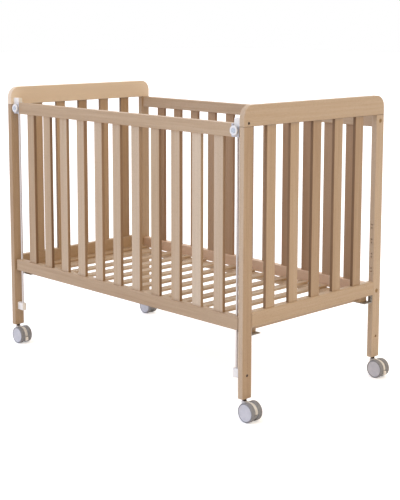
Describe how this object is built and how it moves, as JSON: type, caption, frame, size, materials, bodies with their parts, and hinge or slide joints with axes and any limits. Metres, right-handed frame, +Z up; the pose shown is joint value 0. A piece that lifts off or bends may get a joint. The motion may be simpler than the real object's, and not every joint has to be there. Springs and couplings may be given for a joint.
{
  "type": "baby crib",
  "caption": "Slatted beech crib with a side that drops on steel guide rods, a slatted base on brackets, and twin-wheel casters.",
  "frame": {"origin": "on the floor, under the centre of the four posts", "axes": "+X along the crib, from the left end to the right end as seen from the drop side; +Y from the drop side to the back; +Z up"},
  "size_m": [1.292, 0.699, 0.989],
  "materials": {
    "beech": "clear satin lacquer",
    "cap_plastic": "moulded",
    "white_plastic": "moulded",
    "wheel": "moulded",
    "black_steel": "satin",
    "rod_steel": "bright",
    "zinc_steel": "zinc plated"
  },
  "bodies": {
    "root": {"back_bottom_rail": "beech", "back_slats": "beech", "back_top_rail": "beech", "barrel_nuts": "zinc_steel", "base_bolts": "zinc_steel", "base_brackets": "zinc_steel", "base_cross_rails": "beech", "base_rail_back": "beech", "base_rail_front": "beech", "base_slats": "beech", "board_dowels": "beech", "bracket_screws": "zinc_steel", "caster_stems": "black_steel", "end_board_left": "beech", "end_board_right": "beech", "end_rail_left": "beech", "end_rail_right": "beech", "end_slats_left": "beech", "end_slats_right": "beech", "guide_rod_left": "rod_steel", "guide_rod_right": "rod_steel", "holder_screws": "zinc_steel", "lower_holder_left": "white_plastic", "lower_holder_right": "white_plastic", "post_back_left": "beech", "post_back_right": "beech", "post_front_left": "beech", "post_front_right": "beech", "side_bolts": "zinc_steel", "slat_screws": "zinc_steel", "upper_holder_left": "white_plastic", "upper_holder_right": "white_plastic"},
    "drop_side": {"drop_bottom_rail": "beech", "drop_top_rail": "beech", "drop_slats": "beech", "end_cap_left": "cap_plastic", "end_cap_right": "cap_plastic", "latch_springs": "zinc_steel"},
    "knob_left": {"latch_knob_left": "white_plastic"},
    "knob_right": {"latch_knob_right": "white_plastic"},
    "swivel_front_left": {"caster_housing_front_left": "white_plastic", "caster_pins_front_left": "zinc_steel"},
    "wheel_front_left_outer": {"wheel_front_left_outer": "wheel"},
    "wheel_front_left_inner": {"wheel_front_left_inner": "wheel"},
    "swivel_front_right": {"caster_housing_front_right": "white_plastic", "caster_pins_front_right": "zinc_steel"},
    "wheel_front_right_outer": {"wheel_front_right_outer": "wheel"},
    "wheel_front_right_inner": {"wheel_front_right_inner": "wheel"},
    "swivel_back_left": {"caster_housing_back_left": "white_plastic", "caster_pins_back_left": "zinc_steel"},
    "wheel_back_left_outer": {"wheel_back_left_outer": "wheel"},
    "wheel_back_left_inner": {"wheel_back_left_inner": "wheel"},
    "swivel_back_right": {"caster_housing_back_right": "white_plastic", "caster_pins_back_right": "zinc_steel"},
    "wheel_back_right_outer": {"wheel_back_right_outer": "wheel"},
    "wheel_back_right_inner": {"wheel_back_right_inner": "wheel"},
    "brake_front_left": {"brake_lever_front_left": "white_plastic"},
    "brake_back_right": {"brake_lever_back_right": "white_plastic"}
  },
  "joints": [
    {"name": "drop_side_slide", "type": "slide", "parent": "root", "child": "drop_side", "axis": [0, 0, 1], "range_m": [-0.12, 0]},
    {"name": "latch_push_left", "type": "slide", "parent": "drop_side", "child": "knob_left", "axis": [0, 1, 0], "range_m": [0, 0.004], "stiffness_N_per_m": 900},
    {"name": "latch_push_right", "type": "slide", "parent": "drop_side", "child": "knob_right", "axis": [0, 1, 0], "range_m": [0, 0.004], "stiffness_N_per_m": 900},
    {"name": "swivel_front_left", "type": "hinge", "parent": "root", "child": "swivel_front_left", "pos_m": [-0.6115, -0.325, 0.055], "axis": [0, 0, 1], "continuous": true},
    {"name": "wheel_spin_front_left_outer", "type": "hinge", "parent": "swivel_front_left", "child": "wheel_front_left_outer", "pos_m": [-0.5865, -0.325, 0.0315], "axis": [0, 1, 0], "continuous": true},
    {"name": "wheel_spin_front_left_inner", "type": "hinge", "parent": "swivel_front_left", "child": "wheel_front_left_inner", "pos_m": [-0.5865, -0.325, 0.0315], "axis": [0, 1, 0], "continuous": true},
    {"name": "brake_press_front_left", "type": "hinge", "parent": "swivel_front_left", "child": "brake_front_left", "pos_m": [-0.573, -0.325, 0.022], "axis": [0, 1, 0], "range_deg": [0, 12]},
    {"name": "swivel_front_right", "type": "hinge", "parent": "root", "child": "swivel_front_right", "pos_m": [0.6115, -0.325, 0.055], "axis": [0, 0, 1], "continuous": true},
    {"name": "wheel_spin_front_right_outer", "type": "hinge", "parent": "swivel_front_right", "child": "wheel_front_right_outer", "pos_m": [0.6365, -0.325, 0.0315], "axis": [0, 1, 0], "continuous": true},
    {"name": "wheel_spin_front_right_inner", "type": "hinge", "parent": "swivel_front_right", "child": "wheel_front_right_inner", "pos_m": [0.6365, -0.325, 0.0315], "axis": [0, 1, 0], "continuous": true},
    {"name": "swivel_back_left", "type": "hinge", "parent": "root", "child": "swivel_back_left", "pos_m": [-0.6115, 0.325, 0.055], "axis": [0, 0, 1], "continuous": true},
    {"name": "wheel_spin_back_left_outer", "type": "hinge", "parent": "swivel_back_left", "child": "wheel_back_left_outer", "pos_m": [-0.5865, 0.325, 0.0315], "axis": [0, 1, 0], "continuous": true},
    {"name": "wheel_spin_back_left_inner", "type": "hinge", "parent": "swivel_back_left", "child": "wheel_back_left_inner", "pos_m": [-0.5865, 0.325, 0.0315], "axis": [0, 1, 0], "continuous": true},
    {"name": "swivel_back_right", "type": "hinge", "parent": "root", "child": "swivel_back_right", "pos_m": [0.6115, 0.325, 0.055], "axis": [0, 0, 1], "continuous": true},
    {"name": "wheel_spin_back_right_outer", "type": "hinge", "parent": "swivel_back_right", "child": "wheel_back_right_outer", "pos_m": [0.6365, 0.325, 0.0315], "axis": [0, 1, 0], "continuous": true},
    {"name": "wheel_spin_back_right_inner", "type": "hinge", "parent": "swivel_back_right", "child": "wheel_back_right_inner", "pos_m": [0.6365, 0.325, 0.0315], "axis": [0, 1, 0], "continuous": true},
    {"name": "brake_press_back_right", "type": "hinge", "parent": "swivel_back_right", "child": "brake_back_right", "pos_m": [0.65, 0.325, 0.022], "axis": [0, 1, 0], "range_deg": [0, 12]}
  ]
}
